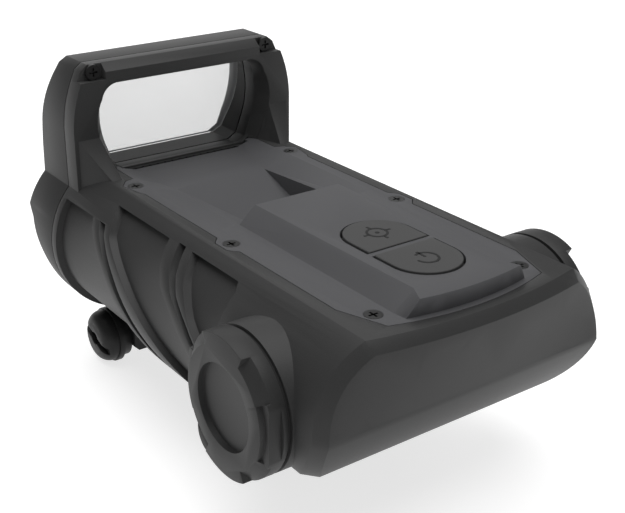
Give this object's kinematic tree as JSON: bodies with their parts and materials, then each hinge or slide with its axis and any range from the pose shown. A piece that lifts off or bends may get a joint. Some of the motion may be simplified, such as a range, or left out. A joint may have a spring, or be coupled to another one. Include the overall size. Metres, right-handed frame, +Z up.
{
  "type": "rail-mounted reflex sight",
  "caption": "Reflex red dot sight with a hooded window, deck keypad, cross battery compartment with screw caps, and a cross-bolt rail clamp.",
  "frame": {"origin": "middle of the rail seat face, midway between the two cross bolts", "axes": "+X to the right, +Y forward along the line of sight towards the target, +Z up"},
  "size_m": [0.0764, 0.115, 0.0702],
  "materials": {
    "housing_paint": "fine-grained matte black coating on die-cast metal",
    "cover_plastic": "fine-grained matte moulded plastic",
    "button_rubber": "matte moulded rubber",
    "seal_rubber": "black seal rubber",
    "dark_screw": "black oxide steel",
    "clamp_steel": "black phosphated steel",
    "cap_aluminium": "matte black anodised aluminium",
    "frame_black": "matt black moulded plastic",
    "lens_glass": "coated optical glass",
    "emitter_glass": "red-tinted window",
    "board_green": "solder-masked circuit board",
    "switch_metal": "stamped steel",
    "contact_metal": "gold-flashed spring metal",
    "cell_wrap": "printed battery sleeve, plain",
    "tube_plastic": "moulded liner"
  },
  "bodies": {
    "body": {"main_housing": "housing_paint", "front_bezel": "housing_paint", "bezel_gasket": "seal_rubber", "hood_screws": "dark_screw", "chin_screws": "dark_screw", "lens_retainer": "frame_black", "lens_bed": "frame_black", "front_lens": "lens_glass", "top_cover": "cover_plastic", "cover_gasket": "seal_rubber", "cover_screws": "dark_screw", "sill_strip": "seal_rubber", "keypad_mat": "seal_rubber", "circuit_board": "board_green", "tact_switches": "switch_metal", "board_posts": "cover_plastic", "emitter_module": "switch_metal", "emitter_lens": "emitter_glass", "emitter_carrier": "frame_black", "emitter_window": "emitter_glass", "carrier_bracket": "switch_metal", "carrier_pin": "switch_metal", "battery_tube": "tube_plastic", "battery_cells": "cell_wrap", "right_battery_cap": "cap_aluminium", "cap_lock_screw": "dark_screw", "right_cap_seal": "seal_rubber", "right_contact_disc": "contact_metal", "rail_base": "clamp_steel", "base_screws": "dark_screw", "front_cross_bolt": "clamp_steel", "rear_cross_bolt": "clamp_steel"},
    "mode_key": {"mode_button": "button_rubber"},
    "power_key": {"power_button": "button_rubber"},
    "cap_thread": {"left_cap_seal": "seal_rubber"},
    "cap": {"left_battery_cap": "cap_aluminium", "left_contact_spring": "contact_metal"},
    "front_jaw": {"front_clamp_plate": "clamp_steel"},
    "front_nut": {"front_clamp_nut": "clamp_steel"},
    "rear_jaw": {"rear_clamp_plate": "clamp_steel"},
    "rear_nut": {"rear_clamp_nut": "clamp_steel"},
    "elevation": {"elevation_adjuster": "clamp_steel"},
    "windage": {"windage_adjuster": "clamp_steel"}
  },
  "joints": [
    {"name": "mode_press", "type": "slide", "parent": "body", "child": "mode_key", "axis": [0, 0, -1], "range_m": [0, 0.0006], "stiffness_N_per_m": 2000},
    {"name": "power_press", "type": "slide", "parent": "body", "child": "power_key", "axis": [0, 0, -1], "range_m": [0, 0.0006], "stiffness_N_per_m": 2000},
    {"name": "cap_travel", "type": "slide", "parent": "body", "child": "cap_thread", "axis": [-1, 0, 0], "range_m": [0, 0.0045]},
    {"name": "cap_turn", "type": "hinge", "parent": "cap_thread", "child": "cap", "pos_m": [-0.034, -0.0509, 0.0212], "axis": [-1, 0, 0], "range_deg": [0, 1080]},
    {"name": "front_jaw_travel", "type": "slide", "parent": "body", "child": "front_jaw", "axis": [-1, 0, 0], "range_m": [0, 0.003]},
    {"name": "front_nut_turn", "type": "hinge", "parent": "front_jaw", "child": "front_nut", "pos_m": [-0.021, 0.02502, -0.0029], "axis": [-1, 0, 0], "range_deg": [0, 1350]},
    {"name": "rear_jaw_travel", "type": "slide", "parent": "body", "child": "rear_jaw", "axis": [-1, 0, 0], "range_m": [0, 0.003]},
    {"name": "rear_nut_turn", "type": "hinge", "parent": "rear_jaw", "child": "rear_nut", "pos_m": [-0.021, -0.02502, -0.0029], "axis": [-1, 0, 0], "range_deg": [0, 1350]},
    {"name": "elevation_turn", "type": "hinge", "parent": "body", "child": "elevation", "pos_m": [0.0305, 0.0195, 0.0212], "axis": [1, 0, 0], "range_deg": [-720, 720]},
    {"name": "windage_turn", "type": "hinge", "parent": "body", "child": "windage", "pos_m": [0.0305, 0.0085, 0.0212], "axis": [1, 0, 0], "range_deg": [-720, 720]}
  ],
  "couplings": [
    {"joint": "cap_travel", "follows": "cap_turn", "m_per_rad": 0.00023873},
    {"joint": "front_jaw_travel", "follows": "front_nut_turn", "m_per_rad": 0.00012732},
    {"joint": "rear_jaw_travel", "follows": "rear_nut_turn", "m_per_rad": 0.00012732}
  ]
}
